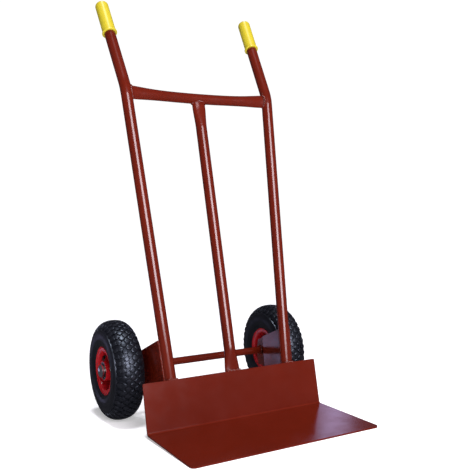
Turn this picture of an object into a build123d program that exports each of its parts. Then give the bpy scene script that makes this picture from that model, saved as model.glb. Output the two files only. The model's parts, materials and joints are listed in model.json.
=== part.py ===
from build123d import *
from math import asin, atan, cos, degrees, pi, radians, sin, sqrt
import os

# Hand truck, standing on its two wheels and on the toe plate's front edge.
# +X is the right-hand wheel, -Y the way the toe points, +Z up.
# The origin is on the floor, under the middle of the whole truck's box.
# All lengths are in millimetres.

# ---- driving dimensions ----
WHEEL_DIAMETER = 260.0
TYRE_WIDTH = 84.0
TRACK = 491.0                  # between the wheels' middle planes
AXLE_BEHIND_CREASE = 222.4
AXLE_DIAMETER = 20.0

TOE_WIDTH = 500.0
TOE_DEPTH = 240.0              # from the crease to the front edge
TOE_TILT = 1.75                # degrees, front edge down
UPRIGHT_HEIGHT = 118.0
SHEET = 4.0
TOE_CORNER_RADIUS = 11.0
TOP_CORNER_RADIUS = 3.0        # the upright's two top corners
CREASE_RADIUS = 5.0            # inside of the fold

LEAN = 9.4                     # degrees the frame leans back from vertical
TUBE_DIAMETER = 30.0
TUBE_WALL = 2.0
HALF_SPACING_LOW = 163.3       # side tube's axis to the middle, at the crease
HALF_SPACING_BEND = 214.0      # and at the handle's bend
HALF_SPACING_END = 225.5       # and at the handle's end
BEND_UP = 868.6                # the bend, measured up the lean from the crease
HANDLE_TURN = 18.75            # degrees the handle turns further back
HANDLE_LENGTH = 288.5
HANDLE_BEND_RADIUS = 120.0
TUBE_FOOT_UP = 14.0

CROSSBAR_UP = 857.6
CROSSBAR_DIAMETER = 28.0
CROSSBAR_END_TALL = 35.0
CROSSBAR_BOW = 17.0
CENTRE_TOP_WIDE = 38.0
CENTRE_FOOT_WIDE = 42.0
CENTRE_FOOT_UP = 62.0
CENTRE_PRESS = 60.0            # length over which the centre tube turns from flat to round
CENTRE_TOP_FLAT = 25.0         # fully flat length under the crossbar
CROSSBAR_PRESS = (             # share of the half length, and how far it is pressed flat there
    (0.0, 0.0), (0.42, 0.0), (0.62, 0.25), (0.82, 0.95), (1.0, 1.0))

GRIP_DIAMETER = 36.0
GRIP_LENGTH = 106.5
GRIP_COLLAR_DIAMETER = 41.0
GRIP_COLLAR = 5.0
GRIP_END_WALL = 4.0
GRIP_END_ROUND = 9.0
GRIP_COLLAR_ROUND = 1.8

BRACKET_REAR_INNER = 201.0     # inner face of the plate where the axle goes through
BRACKET_BEND_BACK = 158.0      # first bend line, behind the frame's front plane
BRACKET_FLARE = 30.0           # degrees
BRACKET_FRONT_LOW = 84.0       # the bracket's outline, measured up the lean
BRACKET_FRONT_HIGH = 216.0
BRACKET_REAR_LOW = 112.0
BRACKET_REAR_HIGH = 152.0
BRACKET_SHOULDER_UP = 184.0
BRACKET_SHOULDER_BACK = 5.0    # behind the axle's centre
BRACKET_REAR_BACK = 20.0
BRACKET_CORNER_RADIUS = 8.0

HUB_LENGTH = 70.0
RIM_SHEET = 2.0
RIM_FLANGE_RADIUS = 61.0
RIM_BOLT_RADIUS = 36.5
RIM_BOLT_HOLE = 6.6
RIM_LIGHT_HOLE = 9.0           # four round holes between the bolts
BOLT_DIAMETER = 6.0
BOLT_ACROSS_FLATS = 10.0
BOLT_HEAD = 4.0
BOLT_LENGTH = 9.0              # beyond the rim's middle
NUT_HEIGHT = 5.0
NUT_BORE = 6.1
SEAT_GAP = 0.1                 # between a bolt's head or nut and the disc
BEARING_OUTER = 47.0
BEARING_WIDTH = 14.0
BEARING_PITCH = 33.5
BALL_DIAMETER = 7.94
BALLS_PER_BEARING = 8
RACE_SETBACK = 2.4             # from the balls' pitch circle to each race's face
BEARING_SETBACK = 0.5          # from the hub's end
CAP_DIAMETER = 33.0
CAP_DEPTH = 10.2
CAP_WALL = 1.5
WASHER_DIAMETER = 32.0
WASHER_THICK = 2.0
WASHER_BORE_GAP = 0.5          # radial
END_PLAY = 0.4                 # between a hub's end and the washer next to it
STACK_GAP = 0.2                # between the other pieces threaded on the axle

TYRE_BEAD_X = 30.4
TYRE_BEAD_RADIUS = 53.2
TYRE_RIM_EDGE = 63.2           # radius at which the sidewall leaves the rim's flange
TYRE_WALL = 6.5
TUBE_RING_RADIUS = 88.5        # the inner tube's section, centred at this radius
TUBE_HALF_WIDE = 28.5
TUBE_HALF_TALL = 30.0
TUBE_SKIN = 2.0

VALVE_TURN = 40.0              # degrees above the truck's rear, seen from the side
VALVE_X = 17.0                 # outward of the wheel's middle, where it passes the rim's well
VALVE_SLOPE = 0.55             # outward travel for each millimetre towards the hub
VALVE_WELL_RADIUS = 50.0
VALVE_ROOT_RADIUS = 57.0       # where the stem joins the inner tube
VALVE_NECK_RADIUS = 48.0       # where the rubber boot ends
VALVE_TIP_RADIUS = 38.0
VALVE_BOOT = 8.0
VALVE_STEM = 5.2
VALVE_CAP = 8.0
VALVE_CAP_LENGTH = 8.0
VALVE_CAP_END = 1.0

TOUCH = 0.05                   # gap left where two pieces of one body touch
RUNNING = 0.05                 # radial clearance of a running fit
WELD_LEG = 4.0
WELD_HEIGHT = 3.0              # of the beads laid round pressed tubes
SEAM_LOW = 30.0                # the long beads behind the upright, measured up the lean
SEAM_HIGH = 105.0
SEAM_ACROSS = 10.5             # from the tube's axis
TOP_BEAD_HALF = 13.0
BRACKET_BEAD_LOW = 90.0
BRACKET_BEAD_HIGH = 210.0

# ---- derived dimensions ----
TUBE_RADIUS = TUBE_DIAMETER / 2
AXLE_RADIUS = AXLE_DIAMETER / 2
WHEEL_RADIUS = WHEEL_DIAMETER / 2
WHEEL_X = TRACK / 2
TUBE_BEHIND = SHEET + TUBE_RADIUS + TOUCH
TAPER_SLOPE = (HALF_SPACING_BEND - HALF_SPACING_LOW) / BEND_UP
TAPER = degrees(atan(TAPER_SLOPE))
FRONT_Y = -(TOE_DEPTH * cos(radians(TOE_TILT)) + AXLE_BEHIND_CREASE + WHEEL_RADIUS) / 2
CREASE_Y = FRONT_Y + TOE_DEPTH * cos(radians(TOE_TILT))
CREASE_Z = SHEET * cos(radians(TOE_TILT)) + TOE_DEPTH * sin(radians(TOE_TILT))
AXLE_Y = CREASE_Y + AXLE_BEHIND_CREASE
UP = Vector(0, sin(radians(LEAN)), cos(radians(LEAN)))
BACK = Vector(0, cos(radians(LEAN)), -sin(radians(LEAN)))
SIDE = Vector(1, 0, 0)
CREASE = Vector(0, CREASE_Y, CREASE_Z)
AXLE_CENTRE = Vector(0, AXLE_Y, WHEEL_RADIUS)
AXLE_UP = (AXLE_CENTRE - CREASE).dot(UP)
AXLE_BACK = (AXLE_CENTRE - CREASE).dot(BACK)
CROSSBAR_BACK = TUBE_BEHIND + CROSSBAR_BOW
HUB_OUTER_END = WHEEL_X + HUB_LENGTH / 2
CAP_START = HUB_OUTER_END + END_PLAY + WASHER_THICK + STACK_GAP
ORIGIN = Vector(0, 0, 0)
TOE_DIRECTION = Vector(0, -cos(radians(TOE_TILT)), -sin(radians(TOE_TILT)))
TOE_BELOW = Vector(0, sin(radians(TOE_TILT)), -cos(radians(TOE_TILT)))


def place(across, back, up):
    """A point given in the leaning frame's own directions, from the crease."""
    return CREASE + SIDE * across + BACK * back + UP * up


def tube_across(up):
    return HALF_SPACING_LOW + TAPER_SLOPE * up


def write(name, *solids):
    """Write one node, made of one or more separate solids."""
    pieces = [piece for shape in solids for piece in shape.solids()]
    node = pieces[0] if len(pieces) == 1 else Compound(children=pieces)
    export_step(node, f"parts/{name}.step")


def mirrored(shape):
    return mirror(shape, Plane.YZ)


def round_bar(start, end, radius):
    """A straight round bar between two points."""
    run = end - start
    return extrude(Plane(origin=start, z_dir=run) * Circle(radius), run.length)


def ring(x_low, x_high, inner, outer, centre=AXLE_CENTRE):
    """A flat ring about an axis along X."""
    disc = Plane(origin=centre + SIDE * x_low, z_dir=SIDE)
    return extrude(disc * (Circle(outer) - Circle(inner)), x_high - x_low)


def turned(points, centre=AXLE_CENTRE):
    """Revolve a closed outline of (x, radius) points about an axis along X."""
    outline = make_face(Polyline(*points, close=True).edges())
    turned_shape = revolve(outline, Axis.X)
    return Pos(centre) * turned_shape


# ---- toe plate ----

def toe_plate():
    """One bent sheet: the tilted toe and the leaning upright."""
    front = CREASE + TOE_DIRECTION * TOE_DEPTH
    top = place(0, 0, UPRIGHT_HEIGHT)
    half_angle = radians(90 + LEAN + TOE_TILT) / 2
    outward = (TOE_BELOW + BACK).normalized()
    outer_crease = CREASE + outward * (SHEET / sin(half_angle))
    outline = Polyline(front, CREASE, top, top + BACK * SHEET, outer_crease,
                       front + TOE_BELOW * SHEET, close=True)
    sheet = extrude(make_face(outline.edges()), TOE_WIDTH / 2, dir=SIDE, both=True)
    inner = sheet.edges().filter_by(Axis.X).sort_by_distance(CREASE)[0]
    sheet = fillet(inner, CREASE_RADIUS)
    outer = sheet.edges().filter_by(Axis.X).sort_by_distance(outer_crease)[0]
    sheet = fillet(outer, CREASE_RADIUS + SHEET)
    front_corners = sheet.edges().filter_by(Axis(CREASE, TOE_BELOW)).sort_by(Axis.Y)[:2]
    sheet = fillet(front_corners, TOE_CORNER_RADIUS)
    top_corners = sheet.edges().filter_by(Axis(CREASE, BACK)).sort_by(Axis.Z)[-2:]
    return fillet(top_corners, TOP_CORNER_RADIUS)


# ---- tubes ----

def side_tube_path(side):
    bend = place(side * HALF_SPACING_BEND, TUBE_BEHIND, BEND_UP)
    handle_angle = radians(LEAN + HANDLE_TURN)
    spread = side * (HALF_SPACING_END - HALF_SPACING_BEND)
    reach = HANDLE_LENGTH - GRIP_END_WALL
    share = reach / HANDLE_LENGTH
    end = bend + Vector(spread * share, reach * sin(handle_angle), reach * cos(handle_angle))
    foot = place(side * tube_across(TUBE_FOOT_UP), TUBE_BEHIND, TUBE_FOOT_UP)
    return foot, bend, end


def side_tube(side, radius):
    """A side tube's solid shape, filled, of the given radius."""
    foot, bend, end = side_tube_path(side)
    path = FilletPolyline(foot, bend, end, radius=HANDLE_BEND_RADIUS)
    section = Plane(origin=foot, z_dir=bend - foot) * Circle(radius)
    return sweep(section, path=path)


def pressed_half(diameter, half_wide):
    """Half the depth of a round tube once it is pressed to a given half width.

    The perimeter stays that of the round tube (Ramanujan's first formula, solved by steps).
    """
    perimeter = pi * diameter
    half_deep = diameter / 2
    for _ in range(40):
        root = sqrt((3 * half_wide + half_deep) * (half_wide + 3 * half_deep))
        length = pi * (3 * (half_wide + half_deep) - root)
        half_deep += (perimeter - length) / (2 * pi)
    return half_deep


def crossbar(shrink):
    """The bowed crossbar with flattened ends, filled, its section shrunk by a wall."""
    reach = tube_across(CROSSBAR_UP)
    bow_radius = (reach ** 2 + CROSSBAR_BOW ** 2) / (2 * CROSSBAR_BOW)
    end_half_tall = CROSSBAR_END_TALL / 2
    end_half_deep = pressed_half(CROSSBAR_DIAMETER, end_half_tall)
    round_half = CROSSBAR_DIAMETER / 2
    half_turn = asin(reach / bow_radius)
    left_half = [(-share, press) for share, press in reversed(CROSSBAR_PRESS[1:])]
    sections = []
    for share, press in (*left_half, *CROSSBAR_PRESS):
        turn = share * half_turn
        across = bow_radius * sin(turn)
        back = CROSSBAR_BACK - bow_radius * (1 - cos(turn))
        along = SIDE * cos(turn) - BACK * sin(turn)
        tall = round_half + press * (end_half_tall - round_half) - shrink
        deep = round_half + press * (end_half_deep - round_half) - shrink
        plane = Plane(origin=place(across, back, CROSSBAR_UP), x_dir=UP, z_dir=along)
        sections.append(plane * Ellipse(tall, deep))
    return loft(sections)


def press_share(share):
    """How far a section is pressed flat, easing in and out along the pressed stretch."""
    share = min(max(share, 0.0), 1.0)
    return share * share * (3 - 2 * share)


def centre_section(up, shrink):
    """The centre tube's section at a height: round, or pressed flat near its ends."""
    foot_half = CENTRE_FOOT_WIDE / 2
    top_half = CENTRE_TOP_WIDE / 2
    foot_deep = pressed_half(TUBE_DIAMETER, foot_half)
    top_deep = pressed_half(TUBE_DIAMETER, top_half)
    foot = press_share((UPRIGHT_HEIGHT + CENTRE_PRESS - up) / CENTRE_PRESS)
    top = press_share((up - CROSSBAR_UP + CENTRE_TOP_FLAT + CENTRE_PRESS) / CENTRE_PRESS)
    half_wide = TUBE_RADIUS + foot * (foot_half - TUBE_RADIUS) + top * (top_half - TUBE_RADIUS)
    half_deep = TUBE_RADIUS + foot * (foot_deep - TUBE_RADIUS) + top * (top_deep - TUBE_RADIUS)
    foot_back = SHEET + TOUCH + foot_deep
    share = max(0.0, (up - UPRIGHT_HEIGHT) / (CROSSBAR_UP - UPRIGHT_HEIGHT))
    back = foot_back + (CROSSBAR_BACK - foot_back) * share
    plane = Plane(origin=place(0, back, up), x_dir=SIDE, z_dir=UP)
    return plane * Ellipse(half_wide - shrink, half_deep - shrink)


def centre_tube(shrink):
    """The centre tube with its flattened ends, filled, its section shrunk by a wall."""
    def between(low, high, steps=1):
        rise = (high - low) / steps
        return loft([centre_section(low + rise * index, shrink) for index in range(steps + 1)])

    low_round = UPRIGHT_HEIGHT + CENTRE_PRESS
    high_flat = CROSSBAR_UP - CENTRE_TOP_FLAT
    high_round = high_flat - CENTRE_PRESS
    foot = between(CENTRE_FOOT_UP, UPRIGHT_HEIGHT)
    lower = between(UPRIGHT_HEIGHT, low_round, 5)
    straight = between(low_round, high_round)
    upper = between(high_round, high_flat, 5)
    top = between(high_flat, CROSSBAR_UP)
    return foot + lower + straight + upper + top


# ---- axle brackets ----

def beyond(point, normal):
    """A large block on the far side of a plane."""
    return extrude(Plane(origin=point, z_dir=normal) * Rectangle(1200, 1200), 400)


def bracket_block(outward):
    """Everything outside the right bracket's inner face, moved outward by a distance."""
    tube_face = tube_across(AXLE_UP) + (TUBE_RADIUS + TOUCH) / cos(radians(TAPER)) + outward
    along = (SIDE * TAPER_SLOPE + UP).normalized()
    front_point = place(tube_face, 0, AXLE_UP)
    bend_point = place(tube_face, BRACKET_BEND_BACK, AXLE_UP)
    flare = SIDE * sin(radians(BRACKET_FLARE)) + BACK * cos(radians(BRACKET_FLARE))
    front_block = beyond(front_point, along.cross(BACK) * -1)
    flare_block = beyond(bend_point, along.cross(flare) * -1)
    rear_block = beyond(Vector(BRACKET_REAR_INNER + outward, 0, 0), SIDE)
    return (front_block & flare_block) + rear_block


def axle_bracket():
    """The right bracket: a plate on the tube's outer side that steps out to the axle."""
    shoulder = AXLE_BACK + BRACKET_SHOULDER_BACK
    rear = AXLE_BACK + BRACKET_REAR_BACK
    outline = Polyline(
        place(0, TUBE_BEHIND, BRACKET_FRONT_HIGH), place(0, shoulder, BRACKET_SHOULDER_UP),
        place(0, rear, BRACKET_REAR_HIGH), place(0, rear, BRACKET_REAR_LOW),
        place(0, TUBE_BEHIND, BRACKET_FRONT_LOW), close=True)
    blank = extrude(make_face(outline.edges()), 300, dir=SIDE)
    sheet = (blank & bracket_block(0)) - bracket_block(SHEET)
    rear_corners = sheet.edges().filter_by(Axis.X).sort_by(Axis.Y)[-3:]
    sheet = fillet(rear_corners, BRACKET_CORNER_RADIUS)
    sheet = sheet - round_bar(AXLE_CENTRE, AXLE_CENTRE + SIDE * 300, AXLE_RADIUS + TOUCH)
    return sheet - side_tube(1, TUBE_RADIUS + TOUCH)


# ---- welds ----

def crossbar_weld(side):
    """A bead round the joint of the crossbar and a side tube."""
    near_tube = side_tube(side, TUBE_RADIUS + WELD_LEG)
    bead = crossbar(-WELD_HEIGHT) & near_tube
    return bead - crossbar(-TOUCH) - side_tube(side, TUBE_RADIUS + TOUCH)


def upright_room():
    """The space of the upright's sheet and everything in front of it, with a touch of room."""
    back_face = SHEET + TOUCH
    plane = Plane(origin=place(0, back_face, 0), x_dir=SIDE, z_dir=BACK * -1)
    sheet = Rectangle(TOE_WIDTH, 2 * (UPRIGHT_HEIGHT + TOUCH))
    behind = extrude(plane * sheet, back_face)
    front_plane = Plane(origin=place(0, 0, 0), x_dir=SIDE, z_dir=BACK * -1)
    return behind + extrude(front_plane * Rectangle(TOE_WIDTH, 400), 20)


def top_edge_bead(across, half_length):
    """A bead laid along the upright's top edge."""
    middle = place(across, SHEET / 2, UPRIGHT_HEIGHT)
    return round_bar(middle - SIDE * half_length, middle + SIDE * half_length, WELD_LEG)


def centre_tube_weld():
    """The bead under the crossbar and the bead on the upright's top edge."""
    top = centre_tube(-WELD_HEIGHT) & crossbar(-WELD_LEG)
    top = top - centre_tube(-TOUCH) - crossbar(-TOUCH)
    foot = top_edge_bead(0, CENTRE_FOOT_WIDE / 2 - 2) - centre_tube(-TOUCH)
    foot = foot - upright_room()
    return top.solids() + foot.solids()


def side_tube_weld(side):
    """A bead on the upright's top edge, in front of a side tube."""
    bead = top_edge_bead(side * tube_across(UPRIGHT_HEIGHT), TOP_BEAD_HALF)
    bead = bead - side_tube(side, TUBE_RADIUS + TOUCH) - upright_room()
    return bead.solids()


def side_tube_seams(side):
    """The two long beads behind the upright, one on each side of a side tube."""
    seams = []
    for edge in (-1, 1):
        across_low = side * tube_across(SEAM_LOW) + edge * SEAM_ACROSS
        across_high = side * tube_across(SEAM_HIGH) + edge * SEAM_ACROSS
        start = place(across_low, SHEET + TOUCH, SEAM_LOW)
        end = place(across_high, SHEET + TOUCH, SEAM_HIGH)
        bead = round_bar(start, end, WELD_LEG) - side_tube(side, TUBE_RADIUS + TOUCH)
        bead = bead - upright_room()
        seams += bead.solids().sort_by(SortBy.VOLUME)[-1:]
    return seams


def bracket_room():
    """The right bracket's plate, carried past its edges, with a touch of room."""
    front = TUBE_BEHIND - TOUCH
    rear = AXLE_BACK + 2 * BRACKET_REAR_BACK
    low = BRACKET_FRONT_LOW - 2 * WELD_LEG
    high = BRACKET_FRONT_HIGH + 2 * WELD_LEG
    outline = Polyline(place(0, front, high), place(0, rear, high), place(0, rear, low),
                       place(0, front, low), close=True)
    blank = extrude(make_face(outline.edges()), 300, dir=SIDE)
    return (blank & bracket_block(-TOUCH)) - bracket_block(SHEET + TOUCH)


def bracket_weld():
    """The bead down the right bracket's front edge, on the side tube."""
    across = TUBE_RADIUS + SHEET / 2
    low, high = BRACKET_BEAD_LOW, BRACKET_BEAD_HIGH
    start = place(tube_across(low) + across, TUBE_BEHIND, low)
    end = place(tube_across(high) + across, TUBE_BEHIND, high)
    bead = round_bar(start, end, WELD_LEG)
    return bead - side_tube(1, TUBE_RADIUS + TOUCH) - bracket_room()


def axle_weld():
    """The ring of weld where the axle meets the right bracket's inner face."""
    inner = AXLE_RADIUS + TOUCH
    x_face = BRACKET_REAR_INNER - TOUCH
    crest = WELD_LEG * 0.7
    return turned([(x_face, inner), (x_face, inner + WELD_LEG), (x_face - crest, inner + crest),
                   (x_face - WELD_LEG, inner)])


# ---- grips ----

def grip(side):
    """A closed plastic sleeve with a collar at its lower end."""
    _, bend, end = side_tube_path(side)
    along = (end - bend).normalized()
    outer_end = end + along * GRIP_END_WALL
    start = outer_end - along * GRIP_LENGTH
    plane = Plane(origin=start, z_dir=along)
    body = extrude(plane * Circle(GRIP_DIAMETER / 2), GRIP_LENGTH)
    body = fillet(body.edges().filter_by(GeomType.CIRCLE).sort_by(Axis.Z)[-1], GRIP_END_ROUND)
    collar = extrude(plane * Circle(GRIP_COLLAR_DIAMETER / 2), GRIP_COLLAR)
    collar = fillet(collar.edges().filter_by(GeomType.CIRCLE), GRIP_COLLAR_ROUND)
    return body + collar - round_bar(start - along, end + along * TOUCH, TUBE_RADIUS + TOUCH)


# ---- wheel, made at the origin with its outer side towards +X ----

def tyre_side(inset):
    """Points up the tyre's right side, from the rim's edge to the crown, as (x, radius)."""
    half = TYRE_WIDTH / 2 - inset
    crown = WHEEL_RADIUS - inset
    return [(TYRE_BEAD_X - inset, TYRE_RIM_EDGE), (half - 4.0, 72.0), (half, 90.0),
            (half - 3.0, 108.0), (half - 12.0, crown - 8.0), (half - 26.0, crown - 2.0),
            (0.0, crown)]


def both_sides(points):
    return points + [(-x, radius) for x, radius in reversed(points[:-1])]


def tyre():
    """The tyre's carcass: a horseshoe section standing on its two beads."""
    outer = Spline(*both_sides(tyre_side(0)))
    inner = Spline(*both_sides(tyre_side(TYRE_WALL)))
    edges = [*outer.edges(), *inner.edges()]
    for side in (-1, 1):
        out_x = side * TYRE_BEAD_X
        in_x = side * (TYRE_BEAD_X - TYRE_WALL)
        bead = Polyline((out_x, TYRE_RIM_EDGE), (out_x, TYRE_BEAD_RADIUS),
                        (in_x, TYRE_BEAD_RADIUS), (in_x, TYRE_RIM_EDGE))
        edges += bead.edges()
    return revolve(make_face(edges), Axis.X)


def inner_tube():
    """The closed air tube: a thin ring-shaped skin inside the tyre."""
    outer = Ellipse(TUBE_HALF_WIDE, TUBE_HALF_TALL)
    inner = Ellipse(TUBE_HALF_WIDE - TUBE_SKIN, TUBE_HALF_TALL - TUBE_SKIN)
    return revolve(Plane.XY * Pos(0, TUBE_RING_RADIUS) * (outer - inner), Axis.X)


def rim_half():
    """One pressed half: hub cup, bolted disc, well and flange, 2 mm thick."""
    t = RIM_SHEET
    cup = BEARING_OUTER / 2 + TOUCH
    flange = RIM_FLANGE_RADIUS
    outline = [
        (HUB_LENGTH / 2, cup), (HUB_LENGTH / 2, cup + t), (t + 2.0, cup + t), (t, cup + t + 2.0),
        (t, 42.0), (t + 4.0, 46.8), (25.5, 48.6), (31.5, 50.0), (33.0, 53.0), (33.0, flange - 2.0),
        (35.5, flange - 0.5), (35.0, flange + 1.5), (31.0, flange - 1.0), (31.0, 54.0),
        (30.0, 52.6), (25.0, 50.6), (4.0, 48.9), (0.05, 44.5), (0.05, cup)]
    return revolve(make_face(Polyline(*outline, close=True).edges()), Axis.X)


def around(radius, first_turn):
    """Four places evenly round the wheel's axis, as (y, z)."""
    turns = [radians(first_turn + 90 * index) for index in range(4)]
    return [(radius * cos(turn), radius * sin(turn)) for turn in turns]


def bolt_places():
    return around(RIM_BOLT_RADIUS, 45)


def disc_holes():
    """Round bars that cut the four bolt holes and the four lightening holes."""
    reach = 2 * RIM_SHEET
    bars = []
    for places, diameter in ((bolt_places(), RIM_BOLT_HOLE),
                             (around(RIM_BOLT_RADIUS, 0), RIM_LIGHT_HOLE)):
        for y, z in places:
            bars.append(round_bar(Vector(-reach, y, z), Vector(reach, y, z), diameter / 2))
    return bars


def hexagon():
    return RegularPolygon(BOLT_ACROSS_FLATS / 2, 6, major_radius=False)


def rim_bolts():
    seat = RIM_SHEET + SEAT_GAP
    bolts = []
    for y, z in bolt_places():
        head = extrude(Plane(origin=(seat, y, z), z_dir=(1, 0, 0)) * hexagon(), BOLT_HEAD)
        shank = round_bar(Vector(-BOLT_LENGTH, y, z), Vector(seat, y, z), BOLT_DIAMETER / 2)
        bolts.append(head + shank)
    return bolts


def rim_nuts():
    outline = hexagon() - Circle(NUT_BORE / 2)
    seats = [Plane(origin=(-RIM_SHEET - SEAT_GAP, y, z), z_dir=(-1, 0, 0))
             for y, z in bolt_places()]
    return [extrude(seat * outline, NUT_HEIGHT) for seat in seats]


def bearing_middles():
    offset = HUB_LENGTH / 2 - BEARING_WIDTH / 2 - BEARING_SETBACK
    return [-offset, offset]


def ball_track(x):
    track = Plane.XY * Pos(x, BEARING_PITCH / 2) * Circle(BALL_DIAMETER / 2 + RUNNING)
    return revolve(track, Axis.X)


def inner_races():
    half = BEARING_WIDTH / 2
    bore = AXLE_RADIUS + TOUCH
    rings = [ring(x - half, x + half, bore, BEARING_PITCH / 2 - RACE_SETBACK, ORIGIN)
             for x in bearing_middles()]
    return [race - ball_track(x) for race, x in zip(rings, bearing_middles())]


def outer_races():
    half = BEARING_WIDTH / 2
    inner = BEARING_PITCH / 2 + RACE_SETBACK
    rings = [ring(x - half, x + half, inner, BEARING_OUTER / 2, ORIGIN)
             for x in bearing_middles()]
    return [race - ball_track(x) for race, x in zip(rings, bearing_middles())]


def bearing_balls():
    balls = []
    for x in bearing_middles():
        for index in range(BALLS_PER_BEARING):
            turn = radians(360 * index / BALLS_PER_BEARING)
            radius = BEARING_PITCH / 2
            spot = Pos(x, radius * cos(turn), radius * sin(turn))
            balls.append(spot * Sphere(BALL_DIAMETER / 2))
    return balls


def valve_point(radius):
    """A point on the valve's axis, which leans outward as it comes in towards the hub."""
    x = VALVE_X + (VALVE_WELL_RADIUS - radius) * VALVE_SLOPE
    turn = radians(VALVE_TURN)
    return Vector(x, radius * cos(turn), radius * sin(turn))


def valve_bar(outer, inner, diameter):
    return round_bar(valve_point(outer), valve_point(inner), diameter / 2)


def valve_stem():
    boot = valve_bar(VALVE_ROOT_RADIUS, VALVE_NECK_RADIUS, VALVE_BOOT)
    return boot + valve_bar(VALVE_NECK_RADIUS, VALVE_TIP_RADIUS, VALVE_STEM)


def valve_cap():
    end = VALVE_TIP_RADIUS - VALVE_CAP_END
    hollow = valve_bar(end + 2 * VALVE_CAP_LENGTH, VALVE_TIP_RADIUS - TOUCH,
                       VALVE_STEM + 2 * TOUCH)
    return valve_bar(end + VALVE_CAP_LENGTH, end, VALVE_CAP) - hollow


def wheel_pieces():
    """Every piece of a wheel by name, as a list of solids at the origin."""
    outer_half = rim_half()
    for hole in disc_holes():
        outer_half = outer_half - hole
    inner_half = mirrored(outer_half)
    well_hole = valve_bar(VALVE_ROOT_RADIUS + 3, VALVE_NECK_RADIUS - 4, VALVE_BOOT + 1)
    outer_half = outer_half - well_hole
    stem_room = valve_bar(VALVE_ROOT_RADIUS + 3, VALVE_NECK_RADIUS, VALVE_BOOT + 2 * TOUCH)
    return {
        "tyre": [tyre()],
        "inner_tube": [inner_tube() - stem_room],
        "outer_rim_half": [outer_half],
        "inner_rim_half": [inner_half],
        "rim_bolts": rim_bolts(),
        "rim_nuts": rim_nuts(),
        "bearing_outer_races": outer_races(),
        "bearing_balls": bearing_balls(),
        "valve_stem": [valve_stem()],
        "valve_cap": [valve_cap()],
    }


# ---- pieces on the axle outside the brackets ----

def inner_washers():
    """Two plain washers between the right bracket and the wheel's hub."""
    start = BRACKET_REAR_INNER + SHEET + STACK_GAP
    step = (WHEEL_X - HUB_LENGTH / 2 - END_PLAY - start) / 2
    bore = AXLE_RADIUS + WASHER_BORE_GAP
    return [ring(start + index * step, start + (index + 1) * step - TOUCH, bore,
                 WASHER_DIAMETER / 2) for index in range(2)]


def outer_washer():
    start = HUB_OUTER_END + END_PLAY
    return ring(start, start + WASHER_THICK, AXLE_RADIUS + WASHER_BORE_GAP, WASHER_DIAMETER / 2)


def axle_cap():
    """The domed push-on cap on the axle's right end."""
    radius = CAP_DIAMETER / 2
    bore = AXLE_RADIUS + TOUCH
    outside = [(CAP_START, bore), (CAP_START, radius), (CAP_START + 0.4 * CAP_DEPTH, radius),
               (CAP_START + 0.74 * CAP_DEPTH, 0.82 * radius),
               (CAP_START + 0.93 * CAP_DEPTH, 0.5 * radius), (CAP_START + CAP_DEPTH, 0.0)]
    ceiling = CAP_START + CAP_DEPTH - CAP_WALL
    return turned([*outside, (ceiling, 0.0), (ceiling - 0.5, 0.8 * bore), (ceiling - 1.7, bore)])


def axle():
    end = AXLE_CENTRE + SIDE * (CAP_START + CAP_DEPTH - CAP_WALL - 1.9)
    return round_bar(Vector(-end.X, end.Y, end.Z), end, AXLE_RADIUS)


# ---- write every node ----

def main():
    os.makedirs("parts", exist_ok=True)
    write("toe_plate", toe_plate())

    for side, name in ((-1, "left"), (1, "right")):
        tube = side_tube(side, TUBE_RADIUS) - side_tube(side, TUBE_RADIUS - TUBE_WALL)
        write(f"{name}_side_tube", tube)
        write(f"{name}_grip", grip(side))

    bar = crossbar(0) - crossbar(TUBE_WALL)
    for side in (-1, 1):
        bar = bar - side_tube(side, TUBE_RADIUS + TOUCH)
    write("top_crossbar", bar)
    middle = centre_tube(0) - centre_tube(TUBE_WALL) - crossbar(-TOUCH)
    write("centre_tube", middle.solids().sort_by(SortBy.VOLUME)[-1])

    bracket = axle_bracket()
    write("right_axle_bracket", bracket)
    write("left_axle_bracket", mirrored(bracket))
    write("axle", axle())

    write("crossbar_welds", *[crossbar_weld(side) for side in (-1, 1)])
    write("centre_tube_welds", *centre_tube_weld())
    top_beads = side_tube_weld(-1) + side_tube_weld(1)
    write("side_tube_welds", *top_beads, *side_tube_seams(-1), *side_tube_seams(1))
    write("bracket_welds", bracket_weld(), mirrored(bracket_weld()))
    write("axle_welds", axle_weld(), mirrored(axle_weld()))

    pieces = wheel_pieces()
    races = inner_races()
    right_hub = Pos(WHEEL_X, AXLE_Y, WHEEL_RADIUS)
    for name, turn in (("right", lambda shape: shape), ("left", mirrored)):
        for piece, solids in pieces.items():
            write(f"{name}_{piece}", *[turn(right_hub * solid) for solid in solids])
        write(f"{name}_bearing_inner_races", *[turn(right_hub * race) for race in races])
        write(f"{name}_inner_washers", *[turn(washer) for washer in inner_washers()])
        write(f"{name}_outer_washer", turn(outer_washer()))
        write(f"{name}_axle_cap", turn(axle_cap()))


main()
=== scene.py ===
import json
from math import cos, pi, radians, sin

import bmesh
import bpy
from mathutils import Matrix, Vector


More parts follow.
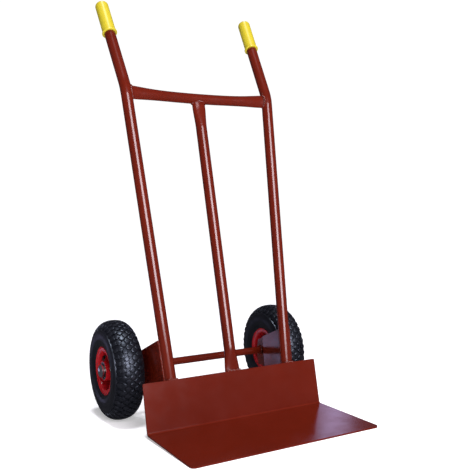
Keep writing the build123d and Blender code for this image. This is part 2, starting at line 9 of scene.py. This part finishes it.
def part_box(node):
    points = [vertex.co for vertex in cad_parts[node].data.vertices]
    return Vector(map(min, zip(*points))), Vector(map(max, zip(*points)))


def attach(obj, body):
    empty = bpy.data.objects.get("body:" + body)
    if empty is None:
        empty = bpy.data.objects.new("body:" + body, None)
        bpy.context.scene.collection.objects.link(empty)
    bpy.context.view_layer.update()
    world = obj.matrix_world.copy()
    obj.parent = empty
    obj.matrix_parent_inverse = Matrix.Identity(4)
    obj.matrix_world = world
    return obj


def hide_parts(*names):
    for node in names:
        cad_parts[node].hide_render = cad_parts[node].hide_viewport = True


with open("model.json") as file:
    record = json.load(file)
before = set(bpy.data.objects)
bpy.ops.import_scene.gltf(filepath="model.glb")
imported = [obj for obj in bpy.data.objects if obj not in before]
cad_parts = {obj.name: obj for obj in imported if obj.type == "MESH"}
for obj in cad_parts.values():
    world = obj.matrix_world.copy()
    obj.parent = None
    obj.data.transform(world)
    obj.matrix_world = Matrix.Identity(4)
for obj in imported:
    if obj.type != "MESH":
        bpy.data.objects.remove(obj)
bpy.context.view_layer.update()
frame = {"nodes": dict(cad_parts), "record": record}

# Looks of the hand truck. Everything is in metres, in the CAD model's frame:
# +X the right-hand wheel, -Y the way the toe points, +Z up, the floor at 0.

MM = 0.001
NODES = frame["nodes"]
SIDES = (("left", -1), ("right", 1))

# ---- places read from the CAD model ----


def middle(node):
    low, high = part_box(node)
    return (low + high) / 2


def extent(node):
    low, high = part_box(node)
    return high - low


TOE_LOW, TOE_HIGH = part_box("toe_plate")
WHEEL_MIDDLE = {side: middle(f"{name}_tyre") for name, side in SIDES}
WHEEL_RADIUS = extent("left_tyre").z / 2
TYRE_HALF = extent("left_tyre").x / 2
AXLE_RADIUS = extent("axle").z / 2
TUBE_RADIUS = 15 * MM
SHEET = 4 * MM
TOE_TILT = radians(1.75)
LEAN = radians(9.4)
TOE_DEPTH = 240 * MM
UPRIGHT_HEIGHT = 118 * MM
CROSSBAR_UP = 857.6 * MM
UP = Vector((0, sin(LEAN), cos(LEAN)))
BACK = Vector((0, cos(LEAN), -sin(LEAN)))
SIDE = Vector((1, 0, 0))
CREASE = Vector((0, TOE_LOW.y + TOE_DEPTH * cos(TOE_TILT),
                 SHEET * cos(TOE_TILT) + TOE_DEPTH * sin(TOE_TILT)))
TUBE_BEHIND = SHEET + TUBE_RADIUS
TUBE_ACROSS_LOW = 163.3 * MM
TUBE_SPREAD = (214.0 - 163.3) / 868.6


def place(across, back, up):
    """A point in the leaning frame's own directions, from the toe plate's crease."""
    return CREASE + SIDE * across + BACK * back + UP * up


def tube_across(up):
    return TUBE_ACROSS_LOW + TUBE_SPREAD * up


# ---- node materials ----

class Shader:
    """A Principled material whose colour and bump come from small node helpers."""

    def __init__(self, name, **values):
        self.material = bpy.data.materials.new(name)
        self.material.use_nodes = True
        self.tree = self.material.node_tree
        self.surface = self.tree.nodes["Principled BSDF"]
        self.place = self.tree.nodes.new("ShaderNodeTexCoord").outputs["Object"]
        for socket, value in values.items():
            self.surface.inputs[socket.replace("_", " ")].default_value = value

    def link(self, source, target):
        self.tree.links.new(source, target)

    def noise(self, scale, detail=3.0, rough=0.5, stretch=None):
        node = self.tree.nodes.new("ShaderNodeTexNoise")
        node.inputs["Scale"].default_value = scale
        node.inputs["Detail"].default_value = detail
        node.inputs["Roughness"].default_value = rough
        source = self.place
        if stretch:
            mapping = self.tree.nodes.new("ShaderNodeMapping")
            mapping.inputs["Scale"].default_value = stretch
            self.link(source, mapping.inputs["Vector"])
            source = mapping.outputs["Vector"]
        self.link(source, node.inputs["Vector"])
        return node.outputs["Fac"]

    def ramp(self, factor, *stops):
        """Colours or grey values by factor: stops are (position, colour)."""
        node = self.tree.nodes.new("ShaderNodeValToRGB")
        elements = node.color_ramp.elements
        while len(elements) < len(stops):
            elements.new(0.5)
        for element, (position, colour) in zip(elements, stops):
            element.position = position
            element.color = (*colour, 1) if isinstance(colour, tuple) else (colour,) * 3 + (1,)
        self.link(factor, node.inputs["Fac"])
        return node.outputs["Color"]

    def mix(self, factor, low, high):
        node = self.tree.nodes.new("ShaderNodeMix")
        node.data_type = "RGBA"
        self.link(factor, node.inputs["Factor"])
        for source, socket in ((low, node.inputs[6]), (high, node.inputs[7])):
            if isinstance(source, tuple):
                socket.default_value = (*source, 1)
            else:
                self.link(source, socket)
        return node.outputs[2]

    def math(self, operation, first, second):
        node = self.tree.nodes.new("ShaderNodeMath")
        node.operation = operation
        for source, socket in zip((first, second), node.inputs):
            if isinstance(source, (int, float)):
                socket.default_value = source
            else:
                self.link(source, socket)
        return node.outputs["Value"]

    def bump(self, height, strength, distance):
        node = self.tree.nodes.new("ShaderNodeBump")
        node.inputs["Strength"].default_value = strength
        node.inputs["Distance"].default_value = distance
        self.link(height, node.inputs["Height"])
        self.link(node.outputs["Normal"], self.surface.inputs["Normal"])

    def colour(self, source):
        self.link(source, self.surface.inputs["Base Color"])

    def roughness(self, source):
        self.link(source, self.surface.inputs["Roughness"])


def enamel(name, deep, plain, roughness):
    """Glossy sprayed enamel: slight colour drift, uneven gloss, faint runs and dust specks."""
    paint = Shader(name, IOR=1.5, Specular_IOR_Level=0.5)
    drift = paint.noise(7.0, 4.0)
    specks = paint.noise(420.0, 2.0)
    dusty = paint.ramp(specks, (0.72, 0.0), (0.80, 0.35))
    base = paint.ramp(drift, (0.3, deep), (0.7, plain))
    paint.colour(paint.mix(dusty, base, tuple(2.2 * value for value in plain)))
    smears = paint.noise(30.0, 5.0, 0.6)
    paint.roughness(paint.ramp(smears, (0.35, roughness), (0.75, roughness + 0.08)))
    paint.bump(paint.noise(90.0, 2.0), 0.06, 0.0004)
    return paint.material


def frame_paint():
    return enamel("frame_paint", (0.084, 0.0068, 0.0020), (0.100, 0.0084, 0.0028), 0.16)


def rim_paint():
    return enamel("rim_paint", (0.34, 0.007, 0.011), (0.47, 0.010, 0.016), 0.18)


def grip_plastic():
    """Smooth yellow plastic with a faint grain and a little grime."""
    plastic = Shader("grip_plastic", IOR=1.48, Coat_Weight=0.25, Coat_Roughness=0.2)
    grime = plastic.noise(70.0, 5.0, 0.65)
    plastic.colour(plastic.ramp(grime, (0.30, (0.445, 0.370, 0.017)), (0.46, (0.48, 0.400, 0.020))))
    plastic.roughness(plastic.ramp(grime, (0.3, 0.38), (0.7, 0.33)))
    plastic.bump(plastic.noise(300.0, 2.0), 0.05, 0.0003)
    return plastic.material


def tyre_rubber():
    """Black rubber: matt grain, a little dust and a shine on the worn faces, with a painted cool
    tint standing in for the light's colour.
    """
    # The shine is real reflection of the lamps; its bluish Specular_Tint is a painted tint of the
    # light's colour, not a property of the rubber.
    rubber = Shader("tyre_rubber", IOR=1.52, Specular_Tint=(0.70, 0.82, 1.0, 1.0))
    dust = rubber.noise(55.0, 6.0, 0.65)
    rubber.colour(rubber.ramp(dust, (0.40, (0.0045, 0.0048, 0.0070)), (0.80, (0.011, 0.011, 0.014))))
    rubber.roughness(rubber.ramp(dust, (0.3, 0.30), (0.75, 0.42)))
    rubber.bump(rubber.noise(1100.0, 3.0), 0.2, 0.0004)
    return rubber.material


def plain_rubber(name):
    rubber = Shader(name, IOR=1.5)
    grain = rubber.noise(300.0, 4.0)
    rubber.colour(rubber.ramp(grain, (0.3, (0.010, 0.010, 0.011)), (0.8, (0.024, 0.024, 0.026))))
    rubber.roughness(rubber.ramp(grain, (0.3, 0.5), (0.7, 0.7)))
    rubber.bump(grain, 0.2, 0.0003)
    return rubber.material


def bright_metal(name, dark, light, roughness, grain_scale):
    """Plated or ground steel: fine turning marks, small stains and uneven gloss."""
    metal = Shader(name, Metallic=1.0)
    stain = metal.noise(120.0, 5.0, 0.6)
    metal.colour(metal.ramp(stain, (0.3, dark), (0.65, light)))
    metal.roughness(metal.ramp(stain, (0.3, roughness + 0.12), (0.7, roughness)))
    marks = metal.noise(grain_scale, 2.0, 0.5, (1.0, 0.06, 0.06))
    metal.bump(marks, 0.15, 0.0002)
    return metal.material


MATERIALS = {
    "frame_paint": frame_paint(),
    "rim_paint": rim_paint(),
    "grip_plastic": grip_plastic(),
    "tyre_rubber": tyre_rubber(),
    "tube_rubber": plain_rubber("tube_rubber"),
    "valve_rubber": plain_rubber("valve_rubber"),
    "valve_plastic": plain_rubber("valve_plastic"),
    "zinc_steel": bright_metal("zinc_steel", (0.22, 0.22, 0.20), (0.38, 0.38, 0.36), 0.34, 900.0),
    "bearing_steel": bright_metal("bearing_steel", (0.30, 0.30, 0.31), (0.52, 0.53, 0.55), 0.18,
                                  1400.0),
    "cap_chrome": bright_metal("cap_chrome", (0.62, 0.63, 0.66), (0.86, 0.87, 0.90), 0.16, 600.0),
}


def dress_cad_nodes():
    """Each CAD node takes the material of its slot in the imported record."""
    for part in frame["record"]["subparts"]:
        node = NODES[part["node"]]
        node.data.materials.clear()
        node.data.materials.append(MATERIALS[part["material_slot"]])


# ---- mesh helpers ----

def new_piece(name, mesh_maker, body, slot, smooth_angle=radians(35)):
    """A mesh object built by mesh_maker(bm), riding on a body, in a slot's material."""
    mesh = bpy.data.meshes.new(name)
    bm = bmesh.new()
    mesh_maker(bm)
    bmesh.ops.recalc_face_normals(bm, faces=bm.faces)
    for face in bm.faces:
        face.smooth = True
    for edge in bm.edges:
        if len(edge.link_faces) == 2 and edge.calc_face_angle(0) > smooth_angle:
            edge.smooth = False
    bm.to_mesh(mesh)
    bm.free()
    mesh.materials.append(MATERIALS[slot])
    piece = bpy.data.objects.new(name, mesh)
    bpy.context.scene.collection.objects.link(piece)
    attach(piece, body)
    return piece


def add_lathe(bm, centre, profile, steps):
    """Revolve a closed (x, radius) profile about the axis along X through centre."""
    rings = []
    for step in range(steps):
        turn = 2 * pi * step / steps
        rings.append([bm.verts.new(centre + Vector((x, r * cos(turn), r * sin(turn))))
                      for x, r in profile])
    count = len(profile)
    for step in range(steps):
        here, there = rings[step], rings[(step + 1) % steps]
        for index in range(count):
            after = (index + 1) % count
            bm.faces.new((here[index], here[after], there[after], there[index]))


# ---- tyres ----

SHOULDER_POWER = 0.86          # below 1, the section is squarer than an ellipse
SECTION_MIDDLE = 89.0 * MM     # the radius at which the tyre is widest
SECTION_RISE = WHEEL_RADIUS - SECTION_MIDDLE
SECTION_SWEEP = 2.42           # radians each side of the crown, down to the rim's flange
SECTION_SAMPLES = 2000
CARCASS_WALL = 6.5 * MM
TYRE_BEAD_X = 30.2 * MM        # the tyre's beads, which sit in the rim
TYRE_BEAD_WIDTH = 5.0 * MM
TYRE_BEAD_RADIUS = 53.5 * MM
SIDEWALL_RIBS = (52 * MM, 84 * MM)
RIB_HEIGHT = 0.35 * MM
RIB_HALF = 1.6 * MM
TREAD_HALF = 45 * MM           # the tread reaches this far from the crown along the section
TREAD_FADE = 4 * MM
TREAD_ROWS = 42                # blocks round the tyre in each column
COLUMN_STEP = 12.0 * MM        # between columns of blocks, along the section
BLOCK_HEIGHT = 3.5 * MM
BLOCK_SHRINK = 0.66            # block size against a tiling with no grooves
SHOULDER_PLACE = 37.5 * MM     # the shoulder blocks' middles, from the crown
SHOULDER_REACH = 7.0 * MM
DIAMOND = ((1, 0), (0.66, 0.62), (0, 1), (-0.66, 0.62), (-1, 0), (-0.66, -0.62), (0, -1),
           (0.66, -0.62))
SHOULDER_BAR = ((1, -0.50), (1, 0.50), (0, 0.80), (-1, 0.60), (-1, -0.60), (0, -0.80))
# A block's outline, from its foot to its worn top: growth and height over the carcass.
BLOCK_RINGS = ((1.15, -0.6 * MM), (1.05, 2.9 * MM), (0.94, 3.4 * MM), (0.6, 3.5 * MM))
BLOCK_PEAK = 3.55 * MM


def section_point(share):
    """The tyre's outer outline at share -1..1, from one rim edge over the crown to the other.

    It is a superellipse: round sidewalls and a flatter crown.
    """
    angle = share * SECTION_SWEEP
    across = abs(sin(angle)) ** SHOULDER_POWER
    x = TYRE_HALF * (across if angle >= 0 else -across)
    height = cos(angle)
    rise = abs(height) ** SHOULDER_POWER
    radius = SECTION_MIDDLE + (rise if height >= 0 else -rise) * SECTION_RISE
    return x, radius


def section_line(count):
    """Points evenly spaced along the outline, and the outline's length."""
    fine = [Vector(section_point(-1 + 2 * index / SECTION_SAMPLES))
            for index in range(SECTION_SAMPLES + 1)]
    lengths = [0.0]
    for before, after in zip(fine, fine[1:]):
        lengths.append(lengths[-1] + (after - before).length)
    points = []
    cursor = 0
    for index in range(count + 1):
        target = lengths[-1] * index / count
        while cursor < SECTION_SAMPLES - 1 and lengths[cursor + 1] < target:
            cursor += 1
        span = lengths[cursor + 1] - lengths[cursor]
        points.append(fine[cursor].lerp(fine[cursor + 1], (target - lengths[cursor]) / span))
    return points, lengths[-1]


class TyreSection:
    """The tyre's outline by distance from the crown along the section."""

    def __init__(self, count=240):
        self.count = count
        self.points, self.length = section_line(count)

    def at(self, distance):
        share = (distance / self.length + 0.5) * self.count
        index = min(max(int(share), 0), self.count - 1)
        return self.points[index].lerp(self.points[index + 1], share - index)

    def normal(self, distance):
        step = 0.5 * MM
        along = self.at(distance + step) - self.at(distance - step)
        return Vector((-along.y, along.x)).normalized()


SECTION = TyreSection()


def carcass_depth(distance):
    """How far the carcass lies below the outline: the blocks' height under the tread."""
    edge = (abs(distance) - TREAD_HALF) / TREAD_FADE
    share = min(max(edge, 0.0), 1.0)
    low = BLOCK_HEIGHT * (1 - share * share * (3 - 2 * share))
    ribs = 0.0
    for rib in SIDEWALL_RIBS:
        ribs += RIB_HEIGHT * max(0.0, 1 - abs(abs(distance) - rib) / RIB_HALF)
    return low - ribs + RIB_HEIGHT


def carcass_profile():
    """The carcass's closed section: its outside, right bead, inside and left bead."""
    outer_steps = 220
    inner_steps = 40
    inner_share = 0.94
    outer = []
    for index in range(outer_steps + 1):
        distance = SECTION.length * (index / outer_steps - 0.5)
        point = SECTION.at(distance) - SECTION.normal(distance) * carcass_depth(distance)
        outer.append((point.x, point.y))
    inner = []
    for index in range(inner_steps + 1):
        distance = SECTION.length * inner_share * (0.5 - index / inner_steps)
        point = SECTION.at(distance) - SECTION.normal(distance) * CARCASS_WALL
        inner.append((point.x, point.y))
    inner_x = TYRE_BEAD_X - TYRE_BEAD_WIDTH
    left_bead = [(-inner_x, TYRE_BEAD_RADIUS), (-TYRE_BEAD_X, TYRE_BEAD_RADIUS)]
    right_bead = [(TYRE_BEAD_X, TYRE_BEAD_RADIUS), (inner_x, TYRE_BEAD_RADIUS)]
    return outer + right_bead + inner + left_bead


def block_point(centre, distance, turn, height):
    """A point over the tread, by distance from the crown, turn round it and height."""
    point = SECTION.at(distance) + SECTION.normal(distance) * (height - BLOCK_HEIGHT)
    return centre + Vector((point.x, point.y * cos(turn), point.y * sin(turn)))


def add_block(bm, centre, distance, turn, half_across, half_round, shape):
    """One tread block: a low frustum on the given outline, with a worn, bevelled top."""
    rings = []
    for grow, height in BLOCK_RINGS:
        ring = []
        for across, around in shape:
            spot = distance + across * half_across * grow
            angle = turn + around * half_round * grow / WHEEL_RADIUS
            ring.append(bm.verts.new(block_point(centre, spot, angle, height)))
        rings.append(ring)
    count = len(shape)
    for low, high in zip(rings, rings[1:]):
        for index in range(count):
            after = (index + 1) % count
            bm.faces.new((low[index], low[after], high[after], high[index]))
    top = bm.verts.new(block_point(centre, distance, turn, BLOCK_PEAK))
    for index in range(count):
        bm.faces.new((rings[-1][index], rings[-1][(index + 1) % count], top))
    bm.faces.new(list(reversed(rings[0])))


def tread_maker(centre):
    """Five columns of diamonds over the crown and a column of bars on each shoulder."""
    def make(bm):
        row = 2 * pi / TREAD_ROWS
        half_round = pi * WHEEL_RADIUS / TREAD_ROWS * BLOCK_SHRINK
        for column in range(-2, 3):
            distance = column * COLUMN_STEP
            for index in range(TREAD_ROWS):
                turn = row * (index + (0.5 if column % 2 else 0.0))
                add_block(bm, centre, distance, turn, COLUMN_STEP * BLOCK_SHRINK, half_round,
                          DIAMOND)
        for side in (-1, 1):
            shape = [(side * across, side * around) for across, around in SHOULDER_BAR]
            for index in range(TREAD_ROWS):
                add_block(bm, centre, side * SHOULDER_PLACE, row * index, SHOULDER_REACH,
                          half_round, shape)
    return make


def build_tyres():
    """A carcass in place of each plain tyre, with its tread blocks beside it."""
    for name, side in SIDES:
        centre = WHEEL_MIDDLE[side]
        body = f"{name}_wheel"
        carcass = new_piece(f"{name}_tyre_carcass",
                            lambda bm: add_lathe(bm, centre, carcass_profile(), 180),
                            body, "tyre_rubber")
        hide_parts(f"{name}_tyre")
        new_piece(f"{name}_tyre_tread", tread_maker(centre), body, "tyre_rubber")


# ---- weld beads ----

BEAD_RADIUS = 2.6 * MM
BEAD_SIDES = 10
RIPPLE = 3.4 * MM              # between the scales of a bead
RIPPLE_SHARE = 0.20            # of the bead's radius
WANDER = 5.3 * MM              # a slower unevenness along the bead
WANDER_SHARE = 0.08
PATH_STEP = 0.6 * MM           # along a straight bead
CROSSBAR_RADIUS = 14 * MM
CROSSBAR_END_TALL = 17.5 * MM  # half sizes of the pressed ends
CROSSBAR_END_DEEP = 9.7 * MM
CENTRE_TOP_WIDE = 19 * MM
CENTRE_TOP_DEEP = 10.1 * MM
CENTRE_TOP_BACK = TUBE_BEHIND + 17 * MM
AXLE_BEAD_X = 199.8 * MM       # on the brackets' inner faces
AXLE_BEAD_GAP = 1.2 * MM
EDGE_BEAD_BACK = 2.6 * MM      # on the upright's top edge
EDGE_BEAD_UP = 0.2 * MM
CENTRE_EDGE_BEAD_HALF = 19 * MM
SIDE_EDGE_BEAD_HALF = 13 * MM
SEAM_ACROSS = 10.5 * MM        # from the side tube's axis
SEAM_BACK = 5.4 * MM
SEAM_ENDS = (31 * MM, 104 * MM)
BRACKET_BEAD_ACROSS = 16.5 * MM
BRACKET_BEAD_FORWARD = 0.8 * MM
BRACKET_BEAD_ENDS = (91 * MM, 209 * MM)


def add_bead(bm, path, closed=False):
    """A rippled bead swept along a fine path."""
    count = len(path)
    travelled = 0.0
    outward = (path[1] - path[-1 if closed else 0]).orthogonal().normalized()
    rings = []
    for index, point in enumerate(path):
        before = path[index - 1] if index or closed else point
        after = path[(index + 1) % count] if index < count - 1 or closed else point
        along = (after - before).normalized()
        outward = (outward - along * outward.dot(along)).normalized()
        aside = along.cross(outward)
        if index:
            travelled += (point - path[index - 1]).length
        radius = BEAD_RADIUS * (1 + RIPPLE_SHARE * cos(2 * pi * travelled / RIPPLE)
                                + WANDER_SHARE * sin(travelled / WANDER))
        rings.append([bm.verts.new(point + radius * (outward * cos(turn) + aside * sin(turn)))
                      for turn in (2 * pi * step / BEAD_SIDES for step in range(BEAD_SIDES))])
    pairs = list(zip(rings, rings[1:]))
    if closed:
        pairs.append((rings[-1], rings[0]))
    else:
        bm.faces.new(rings[0])
        bm.faces.new(rings[-1])
    for low, high in pairs:
        for step in range(BEAD_SIDES):
            after = (step + 1) % BEAD_SIDES
            bm.faces.new((low[step], low[after], high[after], high[step]))


def straight(start, end):
    count = int((end - start).length / PATH_STEP)
    return [start.lerp(end, index / count) for index in range(count + 1)]


def round_path(count, point_at):
    """A closed path through the points at count even turns."""
    return [point_at(2 * pi * index / count) for index in range(count)]


def crossbar_end_path(side):
    """Round the crossbar's pressed end, on the surface of a side tube."""
    def point_at(turn):
        deep = CROSSBAR_END_DEEP * cos(turn)
        up = CROSSBAR_UP + CROSSBAR_END_TALL * sin(turn)
        reach = tube_across(up) - (TUBE_RADIUS ** 2 - deep ** 2) ** 0.5
        return place(side * reach, TUBE_BEHIND + deep, up)
    return round_path(150, point_at)


def centre_top_path():
    """Round the centre tube's pressed top, on the underside of the crossbar."""
    def point_at(turn):
        deep = CENTRE_TOP_DEEP * sin(turn)
        up = CROSSBAR_UP - (CROSSBAR_RADIUS ** 2 - deep ** 2) ** 0.5
        return place(CENTRE_TOP_WIDE * cos(turn), CENTRE_TOP_BACK + deep, up)
    return round_path(150, point_at)


def axle_ring_path(side):
    """Round the axle, on a bracket's inner face."""
    def point_at(turn):
        radius = AXLE_RADIUS + AXLE_BEAD_GAP
        return Vector((side * AXLE_BEAD_X, WHEEL_MIDDLE[1].y + radius * cos(turn),
                       WHEEL_MIDDLE[1].z + radius * sin(turn)))
    return round_path(110, point_at)


def edge_bead_path(across, half_length):
    """Along the upright's top edge."""
    middle_point = place(across, EDGE_BEAD_BACK, UPRIGHT_HEIGHT + EDGE_BEAD_UP)
    return straight(middle_point - SIDE * half_length, middle_point + SIDE * half_length)


def seam_path(side, edge):
    """Up the back of the upright, beside a side tube."""
    ends = [place(side * tube_across(up) + edge * SEAM_ACROSS, SEAM_BACK, up)
            for up in SEAM_ENDS]
    return straight(*ends)


def bracket_path(side):
    """Down the front edge of a bracket, on the side tube."""
    ends = [place(side * (tube_across(up) + BRACKET_BEAD_ACROSS),
                  TUBE_BEHIND - BRACKET_BEAD_FORWARD, up)
            for up in BRACKET_BEAD_ENDS]
    return straight(*ends)


def build_welds():
    """Rippled beads in place of the CAD model's plain ones."""
    tube_at_top = tube_across(UPRIGHT_HEIGHT)
    side_runs = []
    for _, side in SIDES:
        side_runs += [seam_path(side, edge) for edge in (-1, 1)]
        side_runs.append(edge_bead_path(side * tube_at_top, SIDE_EDGE_BEAD_HALF))
    loops = {"crossbar_welds": [crossbar_end_path(side) for _, side in SIDES],
             "centre_tube_welds": [centre_top_path()],
             "axle_welds": [axle_ring_path(side) for _, side in SIDES]}
    runs = {"centre_tube_welds": [edge_bead_path(0, CENTRE_EDGE_BEAD_HALF)],
            "side_tube_welds": side_runs,
            "bracket_welds": [bracket_path(side) for _, side in SIDES]}
    for node in sorted({*loops, *runs}):
        def make(bm):
            for path in loops.get(node, []):
                add_bead(bm, path, closed=True)
            for path in runs.get(node, []):
                add_bead(bm, path)
        piece = new_piece(node + "_beads", make, "frame", "frame_paint", radians(80))
        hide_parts(node)


# ---- camera, light and floor ----

CAMERA_PLACE = Vector((-0.8303, -1.5445, 0.4843))
CAMERA_AZIMUTH = radians(-29.29)
CAMERA_PITCH = radians(-0.33)
CAMERA_ROLL = radians(-1.96)
CAMERA_LENS = 51.55            # millimetres, on a 36 mm sensor
ROOM_COLOUR = (0.062, 0.060, 0.072)
COOL_WHITE = (0.94, 0.95, 1.0)
WARM_LILAC = (1.0, 0.93, 1.0)
LILAC = (0.62, 0.58, 1.0)
FLOOR_HALF = 14.0


def add_camera():
    """The photograph's viewing place, angle and lens."""
    data = bpy.data.cameras.new("camera")
    data.sensor_width = 36.0
    data.lens = CAMERA_LENS
    data.clip_start = 0.01
    data.clip_end = 60.0
    camera = bpy.data.objects.new("camera", data)
    bpy.context.scene.collection.objects.link(camera)
    forward = Vector((-sin(CAMERA_AZIMUTH) * cos(CAMERA_PITCH),
                      cos(CAMERA_AZIMUTH) * cos(CAMERA_PITCH), sin(CAMERA_PITCH)))
    right = forward.cross(Vector((0, 0, 1))).normalized()
    above = right.cross(forward)
    turned_right = right * cos(CAMERA_ROLL) + above * sin(CAMERA_ROLL)
    turned_up = above * cos(CAMERA_ROLL) - right * sin(CAMERA_ROLL)
    turn = Matrix((turned_right, turned_up, -forward)).transposed().to_4x4()
    camera.matrix_world = Matrix.Translation(CAMERA_PLACE) @ turn
    bpy.context.scene.camera = camera


def add_world():
    """The camera sees plain white; everything else sees a dim, slightly cool room."""
    world = bpy.data.worlds.new("studio")
    bpy.context.scene.world = world
    world.use_nodes = True
    tree = world.node_tree
    nodes, links = tree.nodes, tree.links
    white = nodes["Background"]
    white.inputs["Color"].default_value = (1.0, 1.0, 1.0, 1)
    white.inputs["Strength"].default_value = 1.05
    room = nodes.new("ShaderNodeBackground")
    room.inputs["Color"].default_value = (*ROOM_COLOUR, 1)
    mix = nodes.new("ShaderNodeMixShader")
    links.new(nodes.new("ShaderNodeLightPath").outputs["Is Camera Ray"], mix.inputs["Fac"])
    links.new(room.outputs["Background"], mix.inputs[1])
    links.new(white.outputs["Background"], mix.inputs[2])
    links.new(mix.outputs["Shader"], nodes["World Output"].inputs["Surface"])


def add_floor():
    """A pale matt floor, which the gloss paint doesn't mirror."""
    mesh = bpy.data.meshes.new("floor")
    half = FLOOR_HALF
    mesh.from_pydata([(-half, -half, 0), (half, -half, 0), (half, half, 0), (-half, half, 0)],
                     [], [(0, 1, 2, 3)])
    floor = bpy.data.objects.new("floor", mesh)
    bpy.context.scene.collection.objects.link(floor)
    pale = Shader("studio_floor", Roughness=0.95, Specular_IOR_Level=0.1,
                  Emission_Color=(1, 1, 1, 1), Emission_Strength=0.4)
    pale.colour(pale.ramp(pale.noise(0.7), (0.3, (0.92, 0.92, 0.92)), (0.7, (0.94, 0.94, 0.94))))
    mesh.materials.append(pale.material)
    floor.visible_glossy = False


def towards(azimuth, elevation):
    """A direction from the truck: azimuth 0 is -Y, positive turns towards +X."""
    a, e = radians(azimuth), radians(elevation)
    return Vector((sin(a) * cos(e), -cos(a) * cos(e), sin(e)))


def add_sun(azimuth, elevation, strength, spread, colour=(1, 1, 1)):
    data = bpy.data.lights.new("sun", "SUN")
    data.energy = strength
    data.angle = radians(spread)
    data.color = colour
    light = bpy.data.objects.new("sun", data)
    bpy.context.scene.collection.objects.link(light)
    light.rotation_euler = towards(azimuth, elevation).to_track_quat("Z", "Y").to_euler()


def add_panel(name, azimuth, distance, across, low, high, width, radiance, colour):
    """An upright lit panel facing the truck.

    It stands at a distance along an azimuth, its middle moved across to the right as seen from
    the truck, between two heights. The radiance is what a mirror would show of it.
    """
    data = bpy.data.lights.new(name, "AREA")
    data.shape = "RECTANGLE"
    data.size, data.size_y = width, high - low
    data.energy = radiance * pi * width * (high - low)
    data.color = colour
    light = bpy.data.objects.new(name, data)
    bpy.context.scene.collection.objects.link(light)
    ahead = towards(azimuth, 0)
    right = ahead.cross(Vector((0, 0, 1)))
    light.location = ahead * distance + right * across + Vector((0, 0, (low + high) / 2))
    light.rotation_euler = (ahead * -1).to_track_quat("-Z", "Y").to_euler()
    light.visible_camera = False


def add_studio():
    add_world()
    add_floor()
    add_sun(-10, 84, 2.2, 12, COOL_WHITE)
    add_panel("front_window", -5, 3.4, 0, 0.75, 2.9, 2.2, 14.5, WARM_LILAC)
    add_panel("far_window", 142, 4.0, 0.257, 0.9, 2.1, 0.253, 1.8, LILAC)
    add_panel("low_card", 211.5, 3.0, 0.17, -0.31, 0.0, 0.6, 1.7, LILAC)
    bpy.context.scene.view_settings.view_transform = "Standard"


# ---- put it together ----

add_camera()
add_studio()
dress_cad_nodes()
build_tyres()
build_welds()
